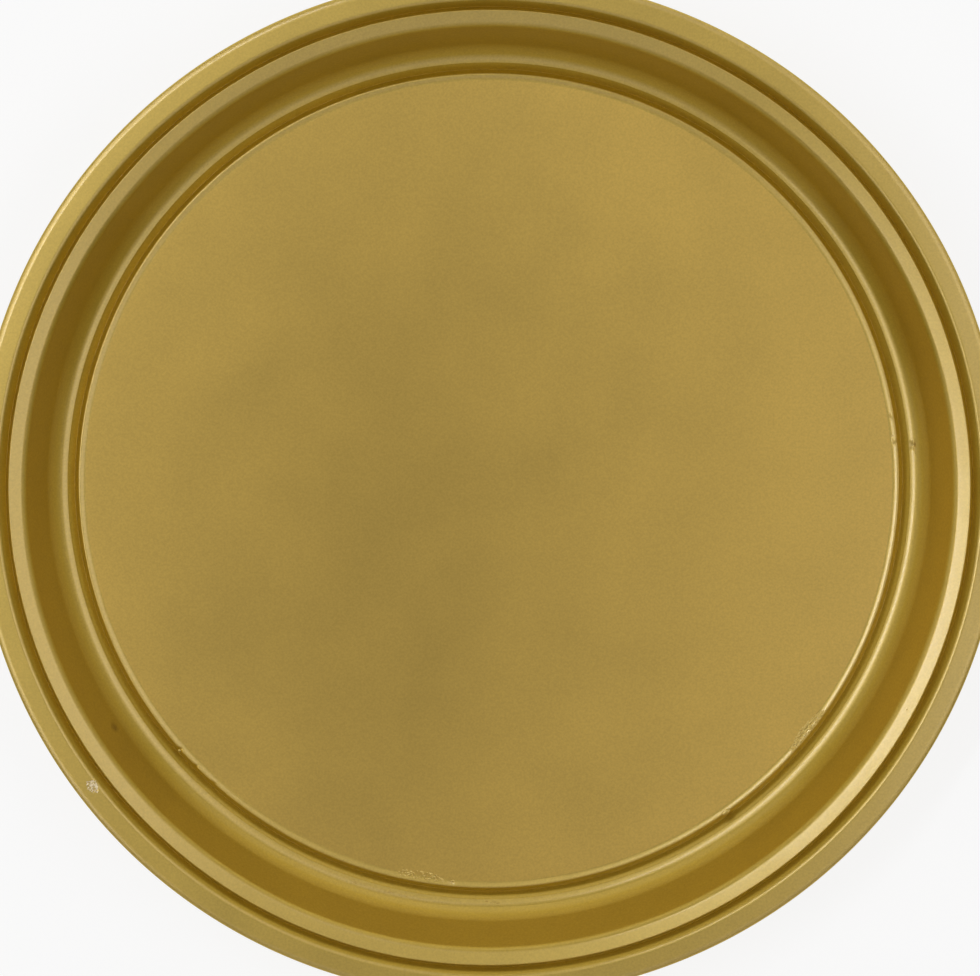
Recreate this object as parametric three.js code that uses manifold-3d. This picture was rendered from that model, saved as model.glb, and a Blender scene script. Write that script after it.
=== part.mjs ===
// A round decorative plate: a turned moulding ring with a flat panel set into it, screwed from below,
// standing on felt pads. Millimetres, +Z up, with the origin on the surface it stands on, at the centre.
import * as THREE from 'three';
import { mergeVertices } from 'three/addons/utils/BufferGeometryUtils.js';
import Module from 'manifold-3d';

// Overall size
const plateDiameter = 330;
const wellDepth = 23;

// Bands of the moulding, as widths seen from above, from the outer edge inwards
const rimEdgeWidth = 3;
const rimFlatWidth = 4.7;
const outerGrooveWidth = 3.3;
const beadWidth = 5.2;
const coveWallWidth = 7.3;
const coveToeWidth = 3.4;
const toeBeadWidth = 1.9;
const innerGrooveWidth = 3.5;
const lipWidth = 1.7;

// Heights and depths of the moulding
const rimEdgeFall = 0.9;
const rimFlatFall = 0.2;
const outerGrooveDepth = 3.1;
const beadStep = 1;
const beadFall = 1.7;
const coveToeRise = 2.7;
const toeBeadRise = 0.6;
const toeEdgeHeight = 0.7;
const innerGrooveDepth = 1.5;
const lipHeight = 0.6;

// Lengths over which the corners of the moulding are rounded off
const rimEdgeRound = 0.9;
const rimCrownRound = 1.5;
const rimInnerRound = 0.8;
const grooveRound = 0.25;
const beadEdgeRound = 0.25;
const beadFootRound = 1.5;
const coveRound = 3.2;
const coveFootRound = 0.3;
const toeBeadRound = 0.8;
const lipRound = 0.3;

// Outer wall, foot and ledge of the ring
const rimSideHeight = 7;
const wallRound = 4.5;
const footSideHeight = 8;
const footRound = 1.5;
const footWall = 11.9;
const ledgeReach = 13;
const ledgeThickness = 4;

// Panel and its joint
const panelThickness = 4;
const panelEdgeRound = 0.3;
const jointGap = 0.3;
const fillerWidth = 0.9;
const fillerHeight = 0.3;

// Screws that hold the panel on the ledge
const screwCount = 6;
const screwShankDiameter = 3;
const screwHeadDiameter = 5.8;
const screwHeadRim = 0.3;
const screwHeadHeight = 1.7;
const screwTipLength = 1.4;
const screwSink = 0.2;
const screwCover = 1.2;
const screwClearance = 0.3;

// Felt pads
const padCount = 4;
const padDiameter = 18;
const padThickness = 2;
const padEdgeRound = 0.4;

// Fineness of the turned shapes
const ringSides = 72;
const screwSides = 16;
const padSides = 28;
const curveSteps = 3;

// Radii that follow from the bands
const rimOuter = plateDiameter / 2;
const rimCrown = rimOuter - rimEdgeWidth;
const outerGrooveOuter = rimCrown - rimFlatWidth;
const outerGrooveInner = outerGrooveOuter - outerGrooveWidth;
const beadFoot = outerGrooveInner - beadWidth;
const coveTurn = beadFoot - coveWallWidth;
const coveFoot = coveTurn - coveToeWidth;
const innerGrooveOuter = coveFoot - toeBeadWidth;
const innerGrooveInner = innerGrooveOuter - innerGrooveWidth;
const wellRadius = innerGrooveInner - lipWidth;
const panelRadius = wellRadius - jointGap;
const ledgeInner = wellRadius - ledgeReach;
const footOuter = coveFoot + footWall;

// Levels that follow from the thicknesses
const ringBottom = padThickness;
const ledgeTop = ringBottom + ledgeThickness;
const wellTop = ledgeTop + panelThickness;
const rimTop = wellTop + wellDepth;
const rimCrownTop = rimTop - rimFlatFall;
const rimEdgeTop = rimCrownTop - rimEdgeFall;
const beadTop = rimTop - beadStep;
const toeEdgeTop = wellTop + toeEdgeHeight;
const coveFootTop = toeEdgeTop + toeBeadRise;
const lipTop = wellTop + lipHeight;

const wasm = await Module();
wasm.setup();

// A closed mesh as a solid that can be cut
function solidOf(geometry) {
  const bare = geometry.clone();
  bare.deleteAttribute('normal');
  bare.deleteAttribute('uv');
  const merged = mergeVertices(bare, 1e-4);
  return new wasm.Manifold(new wasm.Mesh({
    numProp: 3,
    vertProperties: new Float32Array(merged.attributes.position.array),
    triVerts: new Uint32Array(merged.index.array),
  }));
}

function geometryOf(solid) {
  const mesh = solid.getMesh();
  const geometry = new THREE.BufferGeometry();
  geometry.setAttribute('position', new THREE.BufferAttribute(new Float32Array(mesh.vertProperties), 3));
  geometry.setIndex(new THREE.BufferAttribute(new Uint32Array(mesh.triVerts), 1));
  geometry.computeVertexNormals();
  return geometry;
}

// Turn an outline of radius and height about the vertical axis
function turned(outline, sides) {
  const geometry = new THREE.LatheGeometry(outline.getPoints(curveSteps), sides);
  return geometry.rotateX(Math.PI / 2);
}

// The point a given length along the way from one point to another
function towards(from, to, length) {
  return from.clone().add(to.clone().sub(from).setLength(length));
}

// An outline through corners of radius, height and the length over which each corner is rounded off
function roundedOutline(corners) {
  const outline = new THREE.Path();
  const points = corners.map(([radius, height]) => new THREE.Vector2(radius, height));
  outline.moveTo(points[0].x, points[0].y);
  for (let index = 1; index < points.length; index += 1) {
    const corner = points[index];
    const length = corners[index][2];
    if (length === 0) {
      outline.lineTo(corner.x, corner.y);
      continue;
    }
    const start = towards(corner, points[index - 1], length);
    const end = towards(corner, points[index + 1], length);
    outline.lineTo(start.x, start.y);
    outline.quadraticCurveTo(corner.x, corner.y, end.x, end.y);
  }
  return outline;
}

// The ring in section, from the underside round the outside and over the moulding to the seat of the panel
function ringOutline() {
  const outerGrooveMiddle = (outerGrooveOuter + outerGrooveInner) / 2;
  const innerGrooveMiddle = (innerGrooveOuter + innerGrooveInner) / 2;
  return roundedOutline([
    [ledgeInner, ringBottom, 0],
    [footOuter, ringBottom, footRound],
    [footOuter, ringBottom + footSideHeight, wallRound],
    [rimOuter, rimEdgeTop - rimSideHeight, wallRound],
    [rimOuter, rimEdgeTop, rimEdgeRound],
    [rimCrown, rimCrownTop, rimCrownRound],
    [outerGrooveOuter, rimTop, rimInnerRound],
    [outerGrooveMiddle, rimTop - outerGrooveDepth, grooveRound],
    [outerGrooveInner, beadTop, beadEdgeRound],
    [beadFoot, beadTop - beadFall, beadFootRound],
    [coveTurn, coveFootTop + coveToeRise, coveRound],
    [coveFoot, coveFootTop, coveFootRound],
    [innerGrooveOuter, toeEdgeTop, toeBeadRound],
    [innerGrooveMiddle, wellTop - innerGrooveDepth, grooveRound],
    [innerGrooveInner, lipTop, lipRound],
    [wellRadius, wellTop, 0],
    [wellRadius, ledgeTop, 0],
    [ledgeInner, ledgeTop, 0],
    [ledgeInner, ringBottom, 0],
  ]);
}

function panelOutline() {
  const outline = new THREE.Path();
  outline.moveTo(0, ledgeTop);
  outline.lineTo(panelRadius, ledgeTop);
  outline.lineTo(panelRadius, wellTop - panelEdgeRound);
  outline.lineTo(panelRadius - panelEdgeRound, wellTop);
  outline.lineTo(0, wellTop);
  return outline;
}

// The filler lies on the panel along the foot of the lip
function fillerOutline() {
  const outer = panelRadius - panelEdgeRound;
  const outline = new THREE.Path();
  outline.moveTo(outer - fillerWidth, wellTop);
  outline.lineTo(outer, wellTop);
  outline.lineTo(outer, wellTop + fillerHeight);
  outline.quadraticCurveTo(outer - fillerWidth / 2, wellTop + fillerHeight, outer - fillerWidth, wellTop);
  return outline;
}

// A countersunk screw that stands on its head, with its head in the underside of the ledge
function screwOutline(bottom, spare) {
  const head = screwHeadDiameter / 2 + spare;
  const shank = screwShankDiameter / 2 + spare;
  const cone = screwSink + screwHeadRim;
  const tip = ledgeThickness + panelThickness - screwCover + spare;
  const outline = new THREE.Path();
  outline.moveTo(0, bottom);
  outline.lineTo(head, bottom);
  outline.lineTo(head, cone);
  outline.lineTo(shank, cone + screwHeadHeight);
  outline.lineTo(shank, tip - screwTipLength);
  outline.lineTo(0, tip);
  return outline;
}

function padOutline() {
  const radius = padDiameter / 2;
  const outline = new THREE.Path();
  outline.moveTo(0, 0);
  outline.lineTo(radius - padEdgeRound, 0);
  outline.lineTo(radius, padEdgeRound);
  outline.lineTo(radius, padThickness);
  outline.lineTo(0, padThickness);
  return outline;
}

// Places round the plate
function onCircle(radius, index, count, startTurn, height) {
  const angle = (index / count + startTurn) * 2 * Math.PI;
  return new THREE.Vector3(radius * Math.cos(angle), radius * Math.sin(angle), height);
}

const screwCircle = panelRadius - (panelRadius - ledgeInner) / 2;
const screwPlaces = [];
for (let index = 0; index < screwCount; index += 1) {
  screwPlaces.push(onCircle(screwCircle, index, screwCount, 0, ringBottom));
}

const padCircle = (ledgeInner + footOuter) / 2;
const padPlaces = [];
for (let index = 0; index < padCount; index += 1) {
  padPlaces.push(onCircle(padCircle, index, padCount, 0.5 / padCount, 0));
}

// Cut the screw holes, with their countersinks, out of a turned piece
function drilled(geometry) {
  let solid = solidOf(geometry);
  for (const place of screwPlaces) {
    const hole = turned(screwOutline(-screwClearance, screwClearance), screwSides);
    hole.translate(place.x, place.y, place.z);
    solid = solid.subtract(solidOf(hole));
  }
  return geometryOf(solid);
}

const goldPaint = { color: 0xa78a44, roughness: 0.4, metalness: 0.9 };
const zincPlate = { color: 0xb9bcc0, roughness: 0.35, metalness: 1 };
const brownFelt = { color: 0x3a2a20, roughness: 1, metalness: 0 };

const plate = new THREE.Group();

function addPiece(name, geometry, finish, place = new THREE.Vector3()) {
  const mesh = new THREE.Mesh(geometry, new THREE.MeshStandardMaterial(finish));
  mesh.name = name;
  mesh.position.copy(place);
  plate.add(mesh);
}

addPiece('rim_ring', drilled(turned(ringOutline(), ringSides)), goldPaint);
addPiece('well_panel', drilled(turned(panelOutline(), ringSides)), goldPaint);
addPiece('joint_filler', turned(fillerOutline(), ringSides), goldPaint);
screwPlaces.forEach((place, index) => {
  addPiece(`panel_screw_${index + 1}`, turned(screwOutline(screwSink, 0), screwSides), zincPlate, place);
});
padPlaces.forEach((place, index) => {
  addPiece(`felt_pad_${index + 1}`, turned(padOutline(), padSides), brownFelt, place);
});

export default plate;
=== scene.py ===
# Round gold decorative plate: a turned fibre-board ring with a panel let into it, filler in the joint,
# screws from below and felt pads. Metres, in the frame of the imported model.
import math
import random

import bmesh
import bpy
from mathutils import Matrix, Vector, noise


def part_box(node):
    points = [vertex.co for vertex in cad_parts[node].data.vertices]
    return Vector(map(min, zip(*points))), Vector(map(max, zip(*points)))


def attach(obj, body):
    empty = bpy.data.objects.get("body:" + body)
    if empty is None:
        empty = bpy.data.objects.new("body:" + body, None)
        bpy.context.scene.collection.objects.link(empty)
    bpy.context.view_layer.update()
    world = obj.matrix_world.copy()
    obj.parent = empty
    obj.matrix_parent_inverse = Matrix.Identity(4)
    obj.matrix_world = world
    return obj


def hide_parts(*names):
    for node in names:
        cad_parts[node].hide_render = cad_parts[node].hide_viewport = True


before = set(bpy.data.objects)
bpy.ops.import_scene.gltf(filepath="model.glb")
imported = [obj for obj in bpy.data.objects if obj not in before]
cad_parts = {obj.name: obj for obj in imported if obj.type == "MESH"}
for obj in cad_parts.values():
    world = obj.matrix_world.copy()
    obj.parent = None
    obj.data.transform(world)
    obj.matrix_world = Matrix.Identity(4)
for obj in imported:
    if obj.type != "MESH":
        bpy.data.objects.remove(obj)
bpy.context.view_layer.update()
mm = 0.001

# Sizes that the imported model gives
ringLow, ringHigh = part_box("rim_ring")
panelLow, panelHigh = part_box("well_panel")
rimRadius = ringHigh.x
panelRadius = panelHigh.x
wellTop = panelHigh.z
ledgeTop = panelLow.z
ringBottom = ringLow.z
screwNodes = sorted(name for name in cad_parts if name.startswith("panel_screw"))
padNodes = sorted(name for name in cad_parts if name.startswith("felt_pad"))
print("frame loaded:", len(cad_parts), "nodes")

# Sockets of a Mix node that carry colours
mixFirst = 6
mixSecond = 7
mixResult = 2

# The range that most values of a noise texture fall in, and the narrower one that the gloss follows
noiseLow = 0.25
noiseHigh = 0.75
glossLow = 0.3
glossHigh = 0.7


def linearColour(hexText):
    channels = [int(hexText[place:place + 2], 16) / 255 for place in (1, 3, 5)]
    return [c / 12.92 if c <= 0.04045 else ((c + 0.055) / 1.055) ** 2.4 for c in channels] + [1]


# Add one node, with its settings and with values or links for its inputs
def addNode(tree, kind, settings=None, inputs=None):
    node = tree.nodes.new(kind)
    for name, value in (settings or {}).items():
        setattr(node, name, value)
    for name, value in (inputs or {}).items():
        if isinstance(value, bpy.types.NodeSocket):
            tree.links.new(value, node.inputs[name])
        else:
            node.inputs[name].default_value = value
    return node


def newMaterial(name):
    material = bpy.data.materials.new(name)
    material.use_nodes = True
    tree = material.node_tree
    shader = tree.nodes["Principled BSDF"]
    place = addNode(tree, "ShaderNodeTexCoord").outputs["Object"]
    return material, tree, shader, place


# Gold lacquer sprayed over fibre board: fine metal flakes in a clear binder, so broad warm glints
# from the flakes with a paler glint of the binder on top. On steep walls the colour is darker and more
# olive, which is painted shade, and the binder can be made thinner there, which dulls the glint.
def goldLacquer(name, look):
    material, tree, shader, place = newMaterial(name)
    blotch = addNode(tree, "ShaderNodeTexNoise", None,
                     {"Vector": place, "Scale": 1 / look["blotchSize"], "Detail": 3.0, "Roughness": 0.55})
    speckle = addNode(tree, "ShaderNodeTexNoise", None,
                      {"Vector": place, "Scale": 1 / look["speckleSize"], "Detail": 1.0})
    peel = addNode(tree, "ShaderNodeTexNoise", None,
                   {"Vector": place, "Scale": 1 / look["peelSize"], "Detail": 2.0})
    flakes = addNode(tree, "ShaderNodeTexNoise", None,
                     {"Vector": place, "Scale": 1 / look["flakeSize"], "Detail": 1.0})
    blotchTone = addNode(tree, "ShaderNodeMapRange", None,
                         {"Value": blotch.outputs["Fac"], "From Min": noiseLow, "From Max": noiseHigh,
                          "To Min": 1 - look["blotchDepth"], "To Max": 1 + look["blotchDepth"]})
    speckleTone = addNode(tree, "ShaderNodeMapRange", None,
                          {"Value": speckle.outputs["Fac"], "From Min": noiseLow, "From Max": noiseHigh,
                           "To Min": 1 - look["speckleDepth"], "To Max": 1 + look["speckleDepth"]})
    tone = addNode(tree, "ShaderNodeMath", {"operation": "MULTIPLY"},
                   {0: blotchTone.outputs["Result"], 1: speckleTone.outputs["Result"]})
    lean = addNode(tree, "ShaderNodeAttribute", {"attribute_name": "paintedShade"})
    soil = addNode(tree, "ShaderNodeAttribute", {"attribute_name": "soil"})
    # Painted shade: where the attribute is high, the colour turns to the darker, more olive gold
    coatColour = addNode(tree, "ShaderNodeMix", {"data_type": "RGBA"},
                         {"Factor": lean.outputs["Fac"], mixFirst: linearColour(look["gold"]),
                          mixSecond: linearColour(look["paintedShadeGold"])})
    soiled = addNode(tree, "ShaderNodeMix", {"data_type": "RGBA"},
                     {"Factor": soil.outputs["Fac"], mixFirst: coatColour.outputs[mixResult],
                      mixSecond: linearColour(look["soil"])})
    toned = addNode(tree, "ShaderNodeHueSaturation", None,
                    {"Value": tone.outputs["Value"], "Color": soiled.outputs[mixResult]})
    gloss = addNode(tree, "ShaderNodeMapRange", None,
                    {"Value": blotch.outputs["Fac"], "From Min": glossLow, "From Max": glossHigh,
                     "To Min": look["roughness"] - look["roughnessSpread"],
                     "To Max": look["roughness"] + look["roughnessSpread"]})
    flakeBump = addNode(tree, "ShaderNodeBump", None,
                        {"Strength": 1.0, "Distance": look["flakeDepth"], "Height": flakes.outputs["Fac"]})
    bump = addNode(tree, "ShaderNodeBump", None,
                   {"Strength": 1.0, "Distance": look["peelDepth"], "Height": peel.outputs["Fac"],
                    "Normal": flakeBump.outputs["Normal"]})
    tree.links.new(toned.outputs["Color"], shader.inputs["Base Color"])
    tree.links.new(gloss.outputs["Result"], shader.inputs["Roughness"])
    tree.links.new(bump.outputs["Normal"], shader.inputs["Normal"])
    shader.inputs["Metallic"].default_value = look["metallic"]
    shader.inputs["Specular Tint"].default_value = linearColour(look["edgeTint"])
    if "leanBinder" in look:
        binder = addNode(tree, "ShaderNodeMapRange", None,
                         {"Value": lean.outputs["Fac"], "To Min": look["coat"], "To Max": look["leanBinder"]})
        tree.links.new(binder.outputs["Result"], shader.inputs["Coat Weight"])
    else:
        shader.inputs["Coat Weight"].default_value = look["coat"]
    shader.inputs["Coat Roughness"].default_value = look["coatRoughness"]
    return material


ringSpray = {
    "gold": "#C7A955", "paintedShadeGold": "#BEA23F", "soil": "#6E5024", "edgeTint": "#FFFFCB",
    "metallic": 1.0, "roughness": 0.48, "roughnessSpread": 0.02,
    "coat": 1.0, "coatRoughness": 0.21,
    "blotchSize": 30 * mm, "blotchDepth": 0.032,
    "speckleSize": 0.7 * mm, "speckleDepth": 0.07,  # flakes are finer, drawn coarser so that they show
    "peelSize": 1.6 * mm, "peelDepth": 0.006 * mm,
    "flakeSize": 0.4 * mm, "flakeDepth": 0.008 * mm,
}
satinGold = goldLacquer("sprayed_gold_lacquer", dict(ringSpray, leanBinder=0.45))
# The panel's colour is lighter towards its edge, a painted reflection, and darker left of the middle, a
# painted shade
wellGold = goldLacquer("gold_lacquer_painted_reflection", dict(ringSpray, gold="#D3B059", paintedShadeGold="#BD9D4D"))
underGold = goldLacquer("thin_gold_lacquer_underside", {
    "gold": "#A98C4A", "paintedShadeGold": "#9A7F45", "soil": "#6E5024", "edgeTint": "#FFFFFF",
    "metallic": 0.7, "roughness": 0.62, "roughnessSpread": 0.06,
    "coat": 0.2, "coatRoughness": 0.4,
    "blotchSize": 18 * mm, "blotchDepth": 0.12,
    "speckleSize": 0.5 * mm, "speckleDepth": 0.1,
    "flakeSize": 0.4 * mm, "flakeDepth": 0.004 * mm,
    "peelSize": 0.7 * mm, "peelDepth": 0.02 * mm,  # fibres of the board stand through the thin coat
})
fillerGold = goldLacquer("gold_lacquer_over_filler", {
    "gold": "#D9BD69", "paintedShadeGold": "#D9BD69", "soil": "#6E5024", "edgeTint": "#FFFFFF",
    "metallic": 0.9, "roughness": 0.55, "roughnessSpread": 0.06,
    "coat": 0.6, "coatRoughness": 0.3,
    "blotchSize": 4 * mm, "blotchDepth": 0.06,
    "speckleSize": 0.5 * mm, "speckleDepth": 0.06,
    "peelSize": 0.5 * mm, "peelDepth": 0.02 * mm,
    "flakeSize": 0.4 * mm, "flakeDepth": 0.004 * mm,
})


# Torn fibre board: pale matted wood fibres without any gloss
def tornBoard(name, look):
    material, tree, shader, place = newMaterial(name)
    strands = addNode(tree, "ShaderNodeTexNoise", None,
                      {"Vector": place, "Scale": 1 / look["strandSize"], "Detail": 4.0, "Distortion": 1.5})
    colour = addNode(tree, "ShaderNodeMix", {"data_type": "RGBA"},
                     {"Factor": strands.outputs["Fac"], mixFirst: linearColour(look["shade"]),
                      mixSecond: linearColour(look["pale"])})
    bump = addNode(tree, "ShaderNodeBump", None,
                   {"Strength": 1.0, "Distance": look["depth"], "Height": strands.outputs["Fac"]})
    tree.links.new(colour.outputs[mixResult], shader.inputs["Base Color"])
    tree.links.new(bump.outputs["Normal"], shader.inputs["Normal"])
    shader.inputs["Roughness"].default_value = look["roughness"]
    shader.inputs["Specular IOR Level"].default_value = look["gloss"]
    return material


paleBoard = tornBoard("torn_fibre_board", {
    "shade": "#DFC994", "pale": "#FFF1D2", "strandSize": 0.6 * mm, "depth": 0.05 * mm,
    "roughness": 0.95, "gloss": 0.2,
})


# Zinc-plated steel: bright cool metal with the dull patches of a plated screw
def zincSteel(name, look):
    material, tree, shader, place = newMaterial(name)
    patches = addNode(tree, "ShaderNodeTexNoise", None,
                      {"Vector": place, "Scale": 1 / look["patchSize"], "Detail": 3.0})
    colour = addNode(tree, "ShaderNodeMix", {"data_type": "RGBA"},
                     {"Factor": patches.outputs["Fac"], mixFirst: linearColour(look["dull"]),
                      mixSecond: linearColour(look["bright"])})
    gloss = addNode(tree, "ShaderNodeMapRange", None,
                    {"Value": patches.outputs["Fac"],
                     "To Min": look["roughest"], "To Max": look["smoothest"]})
    tree.links.new(colour.outputs[mixResult], shader.inputs["Base Color"])
    tree.links.new(gloss.outputs["Result"], shader.inputs["Roughness"])
    shader.inputs["Metallic"].default_value = 1.0
    return material


platedSteel = zincSteel("zinc_plated_steel", {
    "dull": "#9C9FA3", "bright": "#C9CCD0", "patchSize": 0.8 * mm, "roughest": 0.48, "smoothest": 0.24,
})


# Pressed wool felt: dull brown fibres lying every way, with a soft pale edge of loose hairs
def pressedFelt(name, look):
    material, tree, shader, place = newMaterial(name)
    hairs = addNode(tree, "ShaderNodeTexNoise", None,
                    {"Vector": place, "Scale": 1 / look["hairSize"], "Detail": 4.0, "Distortion": 2.0})
    clumps = addNode(tree, "ShaderNodeTexNoise", None,
                     {"Vector": place, "Scale": 1 / look["clumpSize"], "Detail": 2.0})
    mixed = addNode(tree, "ShaderNodeMath", {"operation": "MULTIPLY"},
                    {0: hairs.outputs["Fac"], 1: clumps.outputs["Fac"]})
    spread = addNode(tree, "ShaderNodeMapRange", None,
                     {"Value": mixed.outputs["Value"],
                      "From Min": look["darkBelow"], "From Max": look["paleAbove"]})
    colour = addNode(tree, "ShaderNodeMix", {"data_type": "RGBA"},
                     {"Factor": spread.outputs["Result"], mixFirst: linearColour(look["dark"]),
                      mixSecond: linearColour(look["pale"])})
    bump = addNode(tree, "ShaderNodeBump", None,
                   {"Strength": 1.0, "Distance": look["depth"], "Height": hairs.outputs["Fac"]})
    tree.links.new(colour.outputs[mixResult], shader.inputs["Base Color"])
    tree.links.new(bump.outputs["Normal"], shader.inputs["Normal"])
    shader.inputs["Roughness"].default_value = look["roughness"]
    shader.inputs["Specular IOR Level"].default_value = look["gloss"]
    shader.inputs["Sheen Weight"].default_value = look["sheen"]
    shader.inputs["Sheen Roughness"].default_value = look["sheenRoughness"]
    return material


brownFelt = pressedFelt("pressed_wool_felt", {
    "dark": "#2B1E16", "pale": "#5A4434", "darkBelow": 0.1, "paleAbove": 0.42,
    "hairSize": 0.35 * mm, "clumpSize": 2.5 * mm, "depth": 0.12 * mm,
    "roughness": 1.0, "gloss": 0.1, "sheen": 0.35, "sheenRoughness": 0.5,
})
print("materials made")

# Fineness that all pieces share
mergeGap = 0.001 * mm
unsplit = 1  # in metres, longer than any edge
sharpFrom = 40  # degrees between faces
lumpSharpFrom = 60

# Rise per length of outline from which steep walls get painted shade, and over which it grows to full
steepFrom = 0.4
steepSpan = 0.25

# Faces that look down more than this get the thin lacquer of the underside
facesDown = -0.9


# A point on the plate: radius, degrees anticlockwise from +X seen from above, and height
def around(radius, turn, height):
    angle = math.radians(turn)
    return Vector((radius * math.cos(angle), radius * math.sin(angle), height))


def radiusOf(point):
    return math.hypot(point.x, point.y)


# Turn corners of radius, height and rounding about the axis of the plate, and note where they are steep
def turnOutline(corners, look, closed=True):
    shape = bmesh.new()
    points = [shape.verts.new((radius, 0, height)) for radius, height, rounding in corners]
    for first, second in zip(points, points[1:]):
        shape.edges.new((first, second))
    if closed:
        shape.edges.new((points[-1], points[0]))
    for point, corner in zip(points, corners):
        if corner[2] > 0:
            bmesh.ops.bevel(shape, geom=[point], offset=corner[2], offset_type="OFFSET",
                            segments=look["cornerSegments"], profile=0.5, affect="VERTICES", material=-1)
    for edge in list(shape.edges):
        cuts = int(edge.calc_length() / look["longestEdge"])
        if cuts > 0:
            bmesh.ops.subdivide_edges(shape, edges=[edge], cuts=cuts)
    # Steep parts of the outline get painted shade: a darker, more olive lacquer colour
    lean = shape.verts.layers.float.new("paintedShade")
    for vert in shape.verts:
        rise = min(abs(e.verts[0].co.z - e.verts[1].co.z) / e.calc_length() for e in vert.link_edges)
        vert[lean] = min(max((rise - steepFrom) / steepSpan, 0), 1)
    bmesh.ops.spin(shape, geom=shape.verts[:] + shape.edges[:], cent=(0, 0, 0), axis=(0, 0, 1),
                   angle=2 * math.pi, steps=look["spinSteps"], use_merge=True, use_duplicate=False)
    bmesh.ops.remove_doubles(shape, verts=shape.verts, dist=mergeGap)
    bmesh.ops.recalc_face_normals(shape, faces=shape.faces)
    return shape


def makePiece(name, shape, materials, sharpAngle=sharpFrom):
    mesh = bpy.data.meshes.new(name)
    shape.to_mesh(mesh)
    shape.free()
    for material in materials:
        mesh.materials.append(material)
    mesh.shade_smooth()
    mesh.set_sharp_from_angle(angle=math.radians(sharpAngle))
    piece = bpy.data.objects.new(name, mesh)
    bpy.context.scene.collection.objects.link(piece)
    return piece


# Let the large faces rule the shading, so that flats stay flat beside small roundings
def steadyShading(piece):
    steady = piece.modifiers.new("steady_shading", "WEIGHTED_NORMAL")
    steady.mode = "FACE_AREA"
    steady.keep_sharp = True


def fitPiece(piece, slot, *nodes):
    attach(piece, "root")
    if nodes:
        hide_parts(*nodes)


# Cut one piece's shape out of another and keep the result as a plain mesh
def cutAway(piece, cutter):
    cut = piece.modifiers.new("cut", "BOOLEAN")
    cut.object = cutter
    cut.operation = "DIFFERENCE"
    cut.solver = "EXACT"
    result = bpy.data.meshes.new_from_object(piece.evaluated_get(bpy.context.evaluated_depsgraph_get()))
    piece.modifiers.clear()
    piece.data = result
    bpy.data.objects.remove(cutter)


# Split the edges near a point, so that small damage has faces to work with
def refine(shape, centre, reach, cuts):
    near = [e for e in shape.edges if all((v.co - centre).length < reach for v in e.verts)]
    bmesh.ops.subdivide_edges(shape, edges=near, cuts=cuts, use_grid_fill=True)


# A lump with an uneven skin, pressed flat by its three half sizes
lumpSkin = {"uneven": 0.38, "grain": 1.3, "seedX": 7.1, "seedZ": 3.3}


def addLump(shape, centre, turn, halfSizes, seed, fineness=1):
    place = Matrix.Translation(centre) @ Matrix.Rotation(math.radians(turn), 4, "Z")
    shift = Vector((seed * lumpSkin["seedX"], 0, seed * lumpSkin["seedZ"]))
    made = bmesh.ops.create_icosphere(shape, subdivisions=fineness, radius=1)
    for vert in made["verts"]:
        vert.co *= 1 + lumpSkin["uneven"] * noise.noise(vert.co * lumpSkin["grain"] + shift)
        vert.co = Vector((vert.co.x * halfSizes[0], vert.co.y * halfSizes[1], vert.co.z * halfSizes[2]))
    bmesh.ops.transform(shape, matrix=place, verts=made["verts"])


# A hair that tapers, turned about the upright by spin and laid down by tilt
def addHair(shape, root, spin, tilt, length, look):
    lean = Matrix.Rotation(spin, 4, "Z") @ Matrix.Rotation(tilt, 4, "Y")
    outwards = Matrix.Translation((0, 0, length * look["outShare"]))
    bmesh.ops.create_cone(shape, cap_ends=True, segments=look["hairSides"], radius1=look["hairThick"],
                          radius2=look["hairThick"] * look["tipShare"], depth=length,
                          matrix=Matrix.Translation(root) @ lean @ outwards)


# Turned ring: steps go from the rim's outer edge inwards, in mm inwards, mm up and mm of rounding
moulding = {
    "steps": [
        (0, 0, 0.6),          # outer edge
        (1.3, 0.6, 0.8),      # crown
        (6.0, 0.3, 0.8),      # inner edge of the flat band
        (2.5, -3.1, 0.06),    # floor of the outer groove
        (1.05, 2.1, 0.25),    # outer edge of the bead
        (5.0, -1.6, 1.4),     # foot of the bead
        (7.65, -16.57, 3.2),  # turn of the cove
        (3.1, -2.45, 0.8),    # foot of the cove
        (1.5, -0.48, 0.4),    # toe bead
        (0.4, -0.06, 0.3),    # inner edge of the toe bead
        (2.3, -2.4, 0.06),    # floor of the inner groove
        (1.4, 2.13, 0.6),     # lip
        (1.4, -0.47, 0.3),    # foot of the lip
        (0.4, -0.05, 0),      # eased edge at the joint
    ],
    "footRadius": 150 * mm, "footSide": 8 * mm, "footRound": 1.5 * mm,
    "rimSide": 7 * mm, "wallRound": 4.5 * mm,
    "outsideBelow": 28 * mm, "outsideMargin": 2 * mm,  # the outer wall, which gets no painted shade
    "ledgeReach": 13 * mm, "jointDip": 0.03 * mm,
    "spinSteps": 360, "cornerSegments": 7, "longestEdge": 2.2 * mm,
    "waver": 0.035 * mm, "waverLength": 9 * mm,  # unevenness of the turned edges under the lacquer
    "waverDepth": 2 * mm, "jointMargin": 0.2 * mm,
}

moulded = []
radius = rimRadius
height = wellTop - moulding["jointDip"] - sum(step[1] for step in moulding["steps"]) * mm
rimEdgeTop = height
for inwards, up, rounding in moulding["steps"]:
    radius -= inwards * mm
    height += up * mm
    moulded.append((radius, height, rounding * mm))
seatRadius = radius
ledgeInner = seatRadius - moulding["ledgeReach"]


# Height of the moulding's sharp outline at a radius
def mouldedHeight(radius):
    for (outer, outerHeight, _), (inner, innerHeight, _) in zip(moulded, moulded[1:]):
        if inner <= radius <= outer:
            return innerHeight + (outerHeight - innerHeight) * (radius - inner) / (outer - inner)
    return wellTop


# A point on the moulding, from a radius in mm and a turn in degrees
def onMoulding(radius, turn):
    return around(radius * mm, turn, mouldedHeight(radius * mm))


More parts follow.
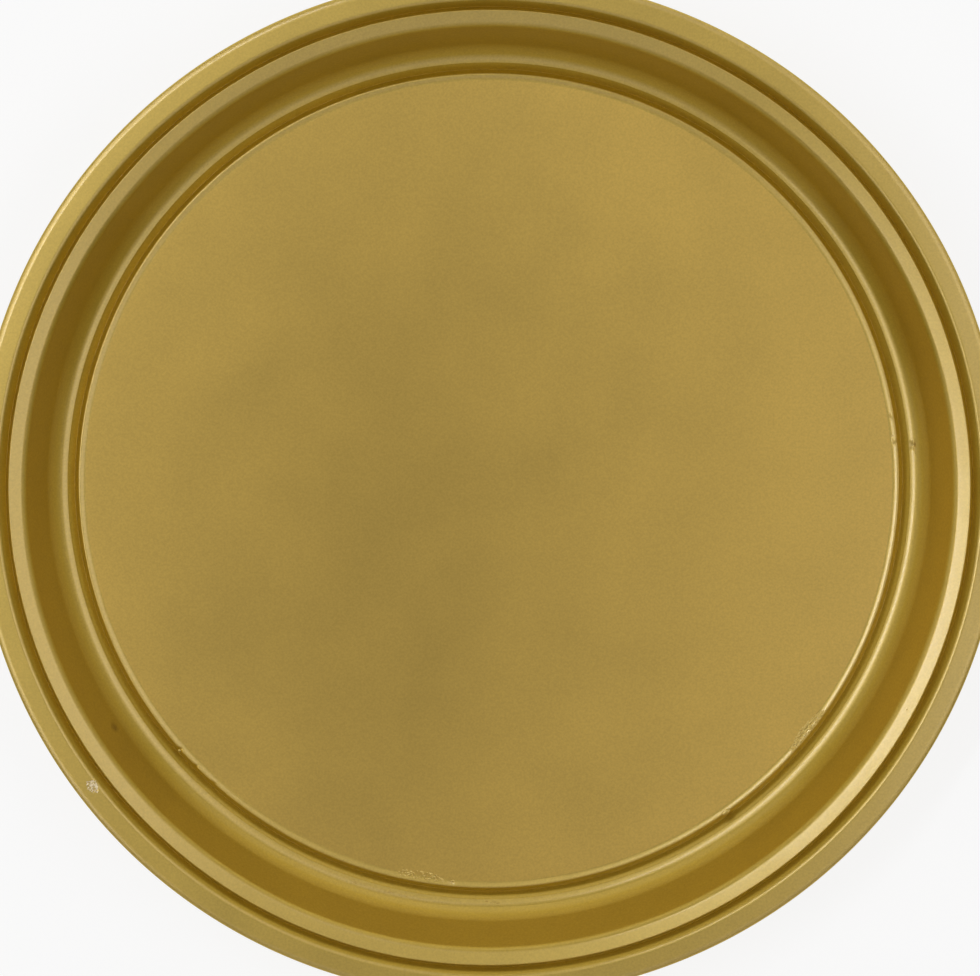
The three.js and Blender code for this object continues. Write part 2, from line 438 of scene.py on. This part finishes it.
ringCorners = moulded + [
    (seatRadius, ledgeTop, 0),
    (ledgeInner, ledgeTop, 0),
    (ledgeInner, ringBottom, 0),
    (moulding["footRadius"], ringBottom, moulding["footRound"]),
    (moulding["footRadius"], ringBottom + moulding["footSide"], moulding["wallRound"]),
    (rimRadius, rimEdgeTop - moulding["rimSide"], moulding["wallRound"]),
]
ring = turnOutline(ringCorners, moulding)
ringShade = ring.verts.layers.float["paintedShade"]
for vert in ring.verts:
    out = radiusOf(vert.co)
    # The outer wall down to the foot gets no painted shade
    if out > moulding["footRadius"] - moulding["outsideMargin"] and vert.co.z < moulding["outsideBelow"]:
        vert[ringShade] = 0
    if vert.co.z > wellTop - moulding["waverDepth"] and out > seatRadius + moulding["jointMargin"]:
        vert.co.z += moulding["waver"] * noise.noise(vert.co / moulding["waverLength"])

# Damage to the lacquer and the edges: lengths in mm, turns in degrees
damage = {
    "chip": {
        "radius": 159.4, "turn": 216.7, "along": 2.3, "across": 1.7, "depth": 0.25,
        "limit": 5, "splits": [(6.5, 3), (4.2, 2)],  # reach and cuts of the finer mesh
        "ragged": 0.45, "raggedSize": 0.9, "edgeSlope": 3,
        "floorMean": 0.65, "floorUneven": 0.6, "floorGrain": 0.5,
        "patchSize": 0.7, "bareAbove": 0.2,
    },
    "nicks": [
        # radius, turn, reach, push inwards, push up
        (156.2, 218.2, 0.9, 0.0, 0.35),    # lump in the outer groove beside the chip
        (132.8, 220.8, 1.2, 0.5, -0.35),   # notch in the lip, lower left
        (132.9, 224.0, 1.6, 0.35, -0.2),
        (132.7, 227.6, 2.2, 0.3, -0.15),
        (137.6, 5.2, 1.5, -0.4, -0.4),     # nick in the toe bead, right
        (131.9, 6.1, 1.2, 0.0, 0.3),       # bulge of the lip, right
        (132.3, 9.6, 1.0, 0.0, 0.2),
        (131.9, 264.6, 1.0, 0.2, -0.3),    # notch at the bottom
    ],
    "nickSkin": {"margin": 2.6, "cuts": 3, "uneven": 0.6, "grain": 0.6},
    "smudge": {"radius": 144.3, "turn": 212.7, "reach": 2.4,
               "splitReach": 4.5, "cuts": 3, "strength": 0.6, "uneven": 0.4, "grain": 0.8},
}
chip = damage["chip"]
chipCentre = onMoulding(chip["radius"], chip["turn"])
for reach, cuts in chip["splits"]:
    refine(ring, chipCentre, reach * mm, cuts)
ring.normal_update()
for face in ring.faces:
    face.material_index = 1 if face.normal.z < facesDown else 0
outwards = around(1, chip["turn"], 0)
sideways = around(1, chip["turn"] + 90, 0)
torn = set()
for vert in ring.verts:
    offset = vert.co - chipCentre
    if offset.length > chip["limit"] * mm:
        continue
    ragged = 1 + chip["ragged"] * noise.noise(vert.co / (chip["raggedSize"] * mm))
    away = math.hypot(offset.dot(sideways) / chip["along"], offset.dot(outwards) / chip["across"])
    reach = away / mm / ragged
    if reach < 1:
        torn.add(vert)
        slope = min(1, chip["edgeSlope"] * (1 - reach))
        uneven = chip["floorMean"] + chip["floorUneven"] * noise.noise(vert.co / (chip["floorGrain"] * mm))
        vert.co.z -= chip["depth"] * mm * slope * uneven
for face in ring.faces:
    bare = noise.noise(face.calc_center_median() / (chip["patchSize"] * mm)) > chip["bareAbove"]
    if bare and all(vert in torn for vert in face.verts):
        face.material_index = 2

nickSkin = damage["nickSkin"]
for nickRadius, turn, reach, inwards, up in damage["nicks"]:
    centre = onMoulding(nickRadius, turn)
    refine(ring, centre, (reach + nickSkin["margin"]) * mm, nickSkin["cuts"])
    for vert in ring.verts:
        away = (vert.co - centre).length / (reach * mm)
        if away < 1:
            uneven = 1 + nickSkin["uneven"] * noise.noise(vert.co / (nickSkin["grain"] * mm))
            press = (1 - away * away) ** 2 * uneven
            vert.co -= around(inwards * mm, turn, 0) * press
            vert.co.z += up * mm * press

smudge = damage["smudge"]
smudgeCentre = onMoulding(smudge["radius"], smudge["turn"])
refine(ring, smudgeCentre, smudge["splitReach"] * mm, smudge["cuts"])
soil = ring.verts.layers.float.new("soil")
for vert in ring.verts:
    away = (vert.co - smudgeCentre).length / (smudge["reach"] * mm)
    if away < 1:
        uneven = smudge["strength"] + smudge["uneven"] * noise.noise(vert.co / (smudge["grain"] * mm))
        vert[soil] = (1 - away * away) ** 2 * uneven
ringPiece = makePiece("rim_ring_turned", ring, [satinGold, underGold, paleBoard])

# Countersunk screws, head down, and the holes for them
screwLook = {
    "shankRadius": 1.5 * mm, "headRim": 0.3 * mm, "headHeight": 2.0 * mm, "tip": 1.4 * mm,
    "headRound": 0.12 * mm, "coneRound": 0.1 * mm,
    "coreShare": 0.8,  # the thread makes up the rest of the shank
    "turning": {"cornerSegments": 3, "longestEdge": unsplit, "spinSteps": 40},
    "clearance": 0.3 * mm, "holeBelow": 1 * mm,
    "holeTurning": {"cornerSegments": 1, "longestEdge": unsplit, "spinSteps": 32},
    "recessReach": 1.55 * mm, "recessWidth": 0.42 * mm, "recessDepth": 1.3 * mm, "recessBelow": 0.5 * mm,
    "recessTaper": 0.55, "recessNarrowing": 0.8,
    "threadPitch": 1.1 * mm, "threadHeight": 0.32 * mm, "threadTurns": 3, "threadSteps": 18,
    "threadStart": 0.1 * mm, "threadRoot": 0.9,
    "crestAt": 0.25, "threadWidth": 0.5,  # shares of the pitch
    "turns": [17, 62, 5, 80, 38, 51],  # how far each screw happened to be driven
}


# The hole that takes a screw, a little wider than the screw
def screwHole(node, spare):
    low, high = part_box(node)
    centre = (low + high) / 2
    headRadius = (high.x - low.x) / 2 + spare
    shankRadius = screwLook["shankRadius"] + spare
    start = ringBottom - screwLook["holeBelow"]
    hole = turnOutline([
        (0, start, 0),
        (headRadius, start, 0),
        (headRadius, low.z + screwLook["headRim"], 0),
        (shankRadius, low.z + screwLook["headHeight"], 0),
        (shankRadius, high.z - screwLook["tip"], 0),
        (0, high.z + spare, 0),
    ], screwLook["holeTurning"], closed=False)
    bmesh.ops.translate(hole, vec=(centre.x, centre.y, 0), verts=hole.verts)
    return hole


def allHoles():
    holes = bmesh.new()
    for node in screwNodes:
        hole = screwHole(node, screwLook["clearance"])
        mesh = bpy.data.meshes.new("hole")
        hole.to_mesh(mesh)
        hole.free()
        holes.from_mesh(mesh)
        bpy.data.meshes.remove(mesh)
    return makePiece("screw_holes", holes, [])


cutAway(ringPiece, allHoles())
steadyShading(ringPiece)
fitPiece(ringPiece, "gold_paint", "rim_ring")
print("ring turned:", len(ringPiece.data.polygons), "faces")

# Panel: a flat disc with its top edge eased, not quite even under the lacquer
panelLook = {
    "edgeRound": 0.05 * mm, "cornerSegments": 2, "longestEdge": 3.2 * mm, "spinSteps": 180,
    "skin": 0.01 * mm, "waver": 0.05 * mm, "waverLength": 70 * mm, "waverEase": 12 * mm,
    "shadeAt": Vector((-36 * mm, -12 * mm, 0)), "shadeWidth": 50 * mm,
    # shares of the ring's tone
    "brightestShare": 1.13, "darkestShare": 0.87, "middle": 0.94, "edgeRise": 0.15, "shadeFall": 0.08,
}
panel = turnOutline([
    (0, wellTop, 0),
    (panelRadius, wellTop, panelLook["edgeRound"]),
    (panelRadius, ledgeTop, 0),
    (0, ledgeTop, 0),
], panelLook, closed=False)
panelShade = panel.verts.layers.float["paintedShade"]
panel.normal_update()
for face in panel.faces:
    face.material_index = 1 if face.normal.z < facesDown else 0
for vert in panel.verts:
    if vert.co.z > wellTop - panelLook["skin"]:
        ease = min(1, (panelRadius - radiusOf(vert.co)) / panelLook["waverEase"])
        vert.co.z += panelLook["waver"] * ease * noise.noise(vert.co / panelLook["waverLength"])
        # Painted reflection and shade: the panel's colour grows lighter towards its edge and darker left of
        # the middle
        aside = (vert.co - panelLook["shadeAt"]).to_2d()
        share = panelLook["middle"] + panelLook["edgeRise"] * (aside.length / panelRadius) ** 2
        share -= panelLook["shadeFall"] * math.exp(-(aside.x / panelLook["shadeWidth"]) ** 2)
        vert[panelShade] = (panelLook["brightestShare"] - share) / (panelLook["brightestShare"] - panelLook["darkestShare"])
panelPiece = makePiece("well_panel_disc", panel, [wellGold, underGold])
cutAway(panelPiece, allHoles())
steadyShading(panelPiece)
fitPiece(panelPiece, "gold_paint", "well_panel")
print("panel made:", len(panelPiece.data.polygons), "faces")

# Filler: a thin uneven line that fills the joint, with crumbs of it where it was squeezed out
fillerLook = {
    "below": 0.03 * mm, "sink": 0.8 * mm, "overlap": 0.02 * mm,
    "cornerSegments": 2, "longestEdge": unsplit, "spinSteps": 360,
    "waver": 0.04 * mm, "waverLength": 5 * mm,
    "seed": 31, "crumbLift": 0.05 * mm, "crumbStretch": (1.0, 1.8), "crumbFlatness": (0.35, 0.6),
    "runs": [
        # first and last turn, crumbs, inner and outer radius, smallest and largest half width, in mm
        (318.3, 325.6, 260, 129.7, 132.5, 0.14, 0.38),
        (256.6, 263.6, 60, 129.0, 131.8, 0.16, 0.42),
        (264.4, 265.2, 3, 130.6, 131.4, 0.2, 0.4),
        (5.2, 7.0, 5, 130.9, 131.9, 0.2, 0.42),
        (9.1, 10.2, 4, 131.2, 132.2, 0.15, 0.3),
    ],
}
fillerInner = panelRadius - fillerLook["overlap"]
fillerOuter = seatRadius + fillerLook["overlap"]
filler = turnOutline([
    (fillerInner, wellTop - fillerLook["below"], 0),
    (fillerOuter, wellTop - fillerLook["below"], 0),
    (fillerOuter, wellTop - fillerLook["sink"], 0),
    (fillerInner, wellTop - fillerLook["sink"], 0),
], fillerLook)
for vert in filler.verts:
    if vert.co.z > wellTop - fillerLook["sink"] / 2:
        vert.co.z += fillerLook["waver"] * noise.noise(vert.co / fillerLook["waverLength"])
fillet = set(filler.faces)
crumbDice = random.Random(fillerLook["seed"])
for first, last, count, inner, outer, small, large in fillerLook["runs"]:
    for index in range(count):
        along = crumbDice.random()
        turn = first + (last - first) * along
        spread = (outer - inner) * math.sqrt(4 * along * (1 - along))
        out = (outer - spread * crumbDice.random()) * mm
        wide = crumbDice.uniform(small, large) * mm
        long = wide * crumbDice.uniform(*fillerLook["crumbStretch"])
        thick = wide * crumbDice.uniform(*fillerLook["crumbFlatness"])
        base = wellTop if out < seatRadius else mouldedHeight(out)
        centre = around(out, turn, base + fillerLook["crumbLift"])
        addLump(filler, centre, turn, (wide, long, thick), index + first)
for face in filler.faces:
    face.material_index = 0 if face in fillet else 1
fillerPiece = makePiece("joint_filler_fillet", filler, [satinGold, fillerGold], lumpSharpFrom)
fitPiece(fillerPiece, "painted_filler", "joint_filler")
print("filler laid:", len(fillerPiece.data.polygons), "faces")

# Nibs: runs and specks caught in the lacquer on the ring
nibLook = {
    "single": [
        # radius, turn, half sizes outwards, along and up, in mm
        (132.7, 305.6, 0.9, 1.5, 0.4),     # run of lacquer on the lip
        (133.4, 220.9, 0.5, 0.6, 0.4),     # crumb in the notch, lower left
        (138.2, 5.6, 0.35, 0.9, 0.3),
        (138.4, 4.3, 0.3, 0.7, 0.3),
        (141.2, 6.1, 0.2, 0.25, 0.2),      # specks in the cove
        (140.6, 359.0, 0.2, 0.25, 0.2),
        (152.0, 332.2, 0.25, 0.25, 0.15),  # speck on the bead
    ],
    "singleFineness": 3,
    "runs": [
        # first and last turn, nibs, inner and outer radius, smallest and largest half width, in mm
        (251.0, 265.0, 34, 137.6, 138.3, 0.12, 0.28),
        (268.6, 271.4, 8, 136.7, 137.9, 0.14, 0.32),
        (129.0, 138.0, 7, 137.5, 138.2, 0.1, 0.2),
    ],
    "seed": 12, "stretch": (1.2, 2.6), "flatness": 0.6,
}
nibs = bmesh.new()
for out, turn, half, along, up in nibLook["single"]:
    sizes = (half * mm, along * mm, up * mm)
    addLump(nibs, onMoulding(out, turn), turn, sizes, turn, nibLook["singleFineness"])
nibDice = random.Random(nibLook["seed"])
for first, last, count, inner, outer, small, large in nibLook["runs"]:
    for index in range(count):
        turn = nibDice.uniform(first, last)
        out = nibDice.uniform(inner, outer)
        wide = nibDice.uniform(small, large) * mm
        sizes = (wide, wide * nibDice.uniform(*nibLook["stretch"]), wide * nibLook["flatness"])
        addLump(nibs, onMoulding(out, turn), turn, sizes, index + first)
bmesh.ops.recalc_face_normals(nibs, faces=nibs.faces)
nibPiece = makePiece("lacquer_nibs", nibs, [satinGold], lumpSharpFrom)
fitPiece(nibPiece, "gold_paint")

# Crumbs and loose fibres of board that stand out of the chip
fibreLook = {
    "seed": 5,
    "crumbs": 90, "smallest": 0.08 * mm, "largest": 0.24 * mm, "clumpSize": 0.9 * mm,
    "crumbStretch": 1.6, "crumbFlatness": 0.6,
    "fibres": 26, "short": 0.5 * mm, "long": 1.3 * mm, "tilt": (62, 88),
    "hairThick": 0.08 * mm, "hairSides": 4, "tipShare": 0.4, "outShare": 0.4,
}


def chipSpot(dice):
    far = math.sqrt(dice.random())
    spin = dice.uniform(0, 2 * math.pi)
    spot = chipCentre + sideways * (far * math.cos(spin) * chip["along"] * mm)
    spot += outwards * (far * math.sin(spin) * chip["across"] * mm)
    spot.z = mouldedHeight(radiusOf(spot))
    return spot


fibres = bmesh.new()
fibreDice = random.Random(fibreLook["seed"])
for index in range(fibreLook["crumbs"]):
    spot = chipSpot(fibreDice)
    wide = fibreDice.uniform(fibreLook["smallest"], fibreLook["largest"])
    turn = fibreDice.uniform(0, 360)
    if noise.noise(spot / fibreLook["clumpSize"]) > 0:
        sizes = (wide, wide * fibreLook["crumbStretch"], wide * fibreLook["crumbFlatness"])
        addLump(fibres, spot, turn, sizes, index)
for index in range(fibreLook["fibres"]):
    spot = chipSpot(fibreDice)
    length = fibreDice.uniform(fibreLook["short"], fibreLook["long"])
    spin = fibreDice.uniform(0, 2 * math.pi)
    tilt = math.radians(fibreDice.uniform(*fibreLook["tilt"]))
    addHair(fibres, spot, spin, tilt, length, fibreLook)
fibrePiece = makePiece("torn_fibres", fibres, [paleBoard])
fitPiece(fibrePiece, "gold_paint")
print("nibs and fibres added")


# A screw with a cross recess in its head and a thread
def addScrew(node, turn):
    low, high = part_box(node)
    centre = (low + high) / 2
    headRadius = (high.x - low.x) / 2
    neck = low.z + screwLook["headHeight"]
    core = screwLook["shankRadius"] * screwLook["coreShare"]
    screw = turnOutline([
        (0, low.z, 0),
        (headRadius, low.z, screwLook["headRound"]),
        (headRadius, low.z + screwLook["headRim"], screwLook["coneRound"]),
        (core, neck, screwLook["coneRound"]),
        (core, high.z - screwLook["tip"], 0),
        (0, high.z, 0),
    ], screwLook["turning"], closed=False)
    piece = makePiece(node + "_zinc", screw, [platedSteel])
    for arm in (0, 90):
        recess = bmesh.new()
        bmesh.ops.create_cube(recess, size=2)
        for vert in recess.verts:
            deep = vert.co.z > 0
            vert.co.x *= screwLook["recessReach"] * (screwLook["recessTaper"] if deep else 1)
            vert.co.y *= screwLook["recessWidth"] * (screwLook["recessNarrowing"] if deep else 1)
            vert.co.z = low.z + (screwLook["recessDepth"] if deep else -screwLook["recessBelow"])
        quarter = Matrix.Rotation(math.radians(arm), 3, "Z")
        bmesh.ops.rotate(recess, verts=recess.verts, cent=(0, 0, 0), matrix=quarter)
        bmesh.ops.recalc_face_normals(recess, faces=recess.faces)
        cutAway(piece, makePiece("recess_arm", recess, []))
    threaded = bmesh.new()
    threaded.from_mesh(piece.data)
    pitch = screwLook["threadPitch"]
    start = neck + screwLook["threadStart"]
    root = core * screwLook["threadRoot"]
    section = threaded.faces.new([
        threaded.verts.new((root, 0, start)),
        threaded.verts.new((core + screwLook["threadHeight"], 0, start + pitch * screwLook["crestAt"])),
        threaded.verts.new((root, 0, start + pitch * screwLook["threadWidth"])),
    ])
    steps = screwLook["threadSteps"] * screwLook["threadTurns"]
    bmesh.ops.spin(threaded, geom=[section], cent=(0, 0, 0), axis=(0, 0, 1), steps=steps,
                   angle=2 * math.pi * screwLook["threadTurns"], use_duplicate=False,
                   dvec=(0, 0, pitch / screwLook["threadSteps"]))
    bmesh.ops.recalc_face_normals(threaded, faces=threaded.faces)
    threaded.to_mesh(piece.data)
    threaded.free()
    driven = Matrix.Rotation(math.radians(turn), 4, "Z")
    piece.data.transform(Matrix.Translation((centre.x, centre.y, 0)) @ driven)
    fitPiece(piece, "zinc_steel", node)


for node, turn in zip(screwNodes, screwLook["turns"]):
    addScrew(node, turn)
print("screws driven:", len(screwNodes))

# Felt pads: stamped discs with a soft uneven skin and loose hairs round the edge
padLook = {
    "edgeRound": 0.45 * mm, "topRound": 0.15 * mm,
    "cornerSegments": 3, "longestEdge": 0.9 * mm, "spinSteps": 64,
    "lumps": 0.05 * mm, "lumpLength": 1.3 * mm, "skin": 0.05 * mm,
    "hairs": 110, "hairLength": 0.8 * mm, "lengthShare": (0.4, 1), "swing": 70, "tilt": (70, 110),
    "rootInside": 0.1 * mm, "rootAbove": 0.3 * mm, "rootBelow": 0.2 * mm,
    "hairThick": 0.035 * mm, "hairSides": 3, "tipShare": 0.4, "outShare": 0.3,
}


def addPad(node, seed):
    low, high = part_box(node)
    centre = (low + high) / 2
    padRadius = (high.x - low.x) / 2
    pad = turnOutline([
        (0, low.z, 0),
        (padRadius, low.z, padLook["edgeRound"]),
        (padRadius, high.z, padLook["topRound"]),
        (0, high.z, 0),
    ], padLook, closed=False)
    for vert in pad.verts:
        if low.z + padLook["skin"] < vert.co.z < high.z - padLook["skin"]:
            vert.co += vert.normal * padLook["lumps"] * noise.noise(vert.co / padLook["lumpLength"])
        elif vert.co.z <= low.z + padLook["skin"]:
            dent = noise.noise(vert.co / padLook["lumpLength"] + Vector((seed, 0, 0)))
            vert.co.z += padLook["lumps"] * max(0, dent)
    dice = random.Random(seed)
    for index in range(padLook["hairs"]):
        turn = dice.uniform(0, 360)
        level = dice.uniform(low.z + padLook["rootAbove"], high.z - padLook["rootBelow"])
        root = around(padRadius - padLook["rootInside"], turn, level)
        spin = math.radians(turn + dice.uniform(-padLook["swing"], padLook["swing"]))
        tilt = math.radians(dice.uniform(*padLook["tilt"]))
        length = padLook["hairLength"] * dice.uniform(*padLook["lengthShare"])
        addHair(pad, root, spin, tilt, length, padLook)
    bmesh.ops.translate(pad, vec=(centre.x, centre.y, 0), verts=pad.verts)
    fitPiece(makePiece(node + "_wool", pad, [brownFelt], lumpSharpFrom), "felt", node)


for index, node in enumerate(padNodes):
    addPad(node, index + 1)
print("pads stuck on:", len(padNodes))


# Floor: pale matt card. It shows white to the camera and in gloss, and keeps part of the shadow
def paleCard(name, look):
    material, tree, shader, place = newMaterial(name)
    tooth = addNode(tree, "ShaderNodeTexNoise", None,
                    {"Vector": place, "Scale": 1 / look["tooth"], "Detail": 2.0})
    bump = addNode(tree, "ShaderNodeBump", None,
                   {"Strength": look["toothStrength"], "Distance": look["toothDepth"],
                    "Height": tooth.outputs["Fac"]})
    tree.links.new(bump.outputs["Normal"], shader.inputs["Normal"])
    shader.inputs["Base Color"].default_value = linearColour(look["card"])
    shader.inputs["Roughness"].default_value = look["roughness"]
    ray = addNode(tree, "ShaderNodeLightPath")
    seen = addNode(tree, "ShaderNodeMath", {"operation": "MAXIMUM"},
                   {0: ray.outputs["Is Camera Ray"], 1: ray.outputs["Is Glossy Ray"]})
    shown = addNode(tree, "ShaderNodeMath", {"operation": "MAXIMUM"},
                    {0: seen.outputs["Value"], 1: ray.outputs["Is Transmission Ray"]})
    share = addNode(tree, "ShaderNodeMath", {"operation": "MULTIPLY"},
                    {0: shown.outputs["Value"], 1: look["whiteShare"]})
    white = addNode(tree, "ShaderNodeEmission", None, {"Strength": 1.0})
    mixed = addNode(tree, "ShaderNodeMixShader", None,
                    {0: share.outputs["Value"], 1: shader.outputs["BSDF"], 2: white.outputs["Emission"]})
    tree.links.new(mixed.outputs["Shader"], tree.nodes["Material Output"].inputs["Surface"])
    return material


floorLook = {
    "half": 4.0, "parts": 4, "card": "#F2F1EE", "roughness": 0.9, "whiteShare": 0.84,
    "tooth": 1.5 * mm, "toothDepth": 0.05 * mm, "toothStrength": 0.2,
}
card = bmesh.new()
bmesh.ops.create_grid(card, x_segments=floorLook["parts"], y_segments=floorLook["parts"],
                      size=floorLook["half"])
floor = makePiece("floor", card, [paleCard("matt_card", floorLook)])

# Soft boxes: degrees round from +X and up, width and height in metres, radiance, and tint if not plain
coolWhite = "#EAF1FF"
warmWhite = "#FFFBF2"
plainWhite = "#FFFFFF"
lampDistance = 2.0
softBoxes = {
    "leftStrip": {"round": 153, "up": 65, "wide": 1.7, "high": 0.11, "radiance": 15.2, "tint": coolWhite},
    "left": {"round": 181, "up": 58, "wide": 2.6, "high": 0.6, "radiance": 2.1},
    "right": {"round": 352, "up": 61, "wide": 1.25, "high": 1.1, "radiance": 1.6},
    "back": {"round": 50, "up": 51, "wide": 1.55, "high": 1.0, "radiance": 1.0},
    "front": {"round": 285, "up": 50, "wide": 2.0, "high": 0.9, "radiance": 0.65},
    "backLow": {"round": 90, "up": 15, "wide": 5.0, "high": 0.8, "radiance": 1.6, "tint": warmWhite},
    "leftLow": {"round": 175, "up": 18, "wide": 2.0, "high": 0.8, "radiance": 1.09, "tint": warmWhite},
    "rightLow": {"round": 5, "up": 18, "wide": 2.0, "high": 0.8, "radiance": 0.83, "tint": warmWhite},
    "frontLow": {"round": 270, "up": 16, "wide": 4.4, "high": 0.8, "radiance": 0.73, "tint": warmWhite},
}
lampTarget = Vector((0, 0, wellTop))
for name, box in softBoxes.items():
    light = bpy.data.lights.new(name, "AREA")
    light.shape = "RECTANGLE"
    light.size = box["wide"]
    light.size_y = box["high"]
    light.color = linearColour(box.get("tint", plainWhite))[:3]
    light.energy = box["radiance"] * math.pi * box["wide"] * box["high"]
    lamp = bpy.data.objects.new(name, light)
    bpy.context.scene.collection.objects.link(lamp)
    rise = math.radians(box["up"])
    lamp.location = lampTarget + around(math.cos(rise), box["round"], math.sin(rise)) * lampDistance
    lamp.rotation_euler = (lampTarget - lamp.location).to_track_quat("-Z", "Y").to_euler()
    lamp.visible_camera = False

roomGlow = 0.02
studio = bpy.data.worlds.new("studio")
studio.use_nodes = True
studio.node_tree.nodes["Background"].inputs["Color"].default_value = linearColour(plainWhite)
studio.node_tree.nodes["Background"].inputs["Strength"].default_value = roomGlow
bpy.context.scene.world = studio

# Camera: high above the plate, leaning a little towards the back
view = {
    "distance": 2.0, "leanRight": -0.73, "leanBack": 6.8,
    "aim": Vector((-0.03 * mm, 1.38 * mm, ringHigh.z)),
    "focalPixels": 6244, "imageWidth": 980, "sensor": 36, "farthest": 50,
}
leanRight = math.radians(view["leanRight"])
leanBack = math.radians(view["leanBack"])
sight = Vector((math.sin(leanRight), math.sin(leanBack) * math.cos(leanRight),
                math.cos(leanBack) * math.cos(leanRight)))
right = Vector((0, 1, 0)).cross(sight).normalized()
upwards = sight.cross(right)
camera = bpy.data.objects.new("camera", bpy.data.cameras.new("camera"))
camera.data.sensor_width = view["sensor"]
camera.data.lens = view["focalPixels"] * view["sensor"] / view["imageWidth"]
camera.data.clip_end = view["farthest"]
placed = Matrix((right, upwards, sight)).transposed().to_4x4()
placed.translation = view["aim"] + sight * view["distance"]
camera.matrix_world = placed
bpy.context.scene.collection.objects.link(camera)
bpy.context.scene.camera = camera
bpy.context.scene.view_settings.view_transform = "Standard"
print("floor, lamps and camera set")
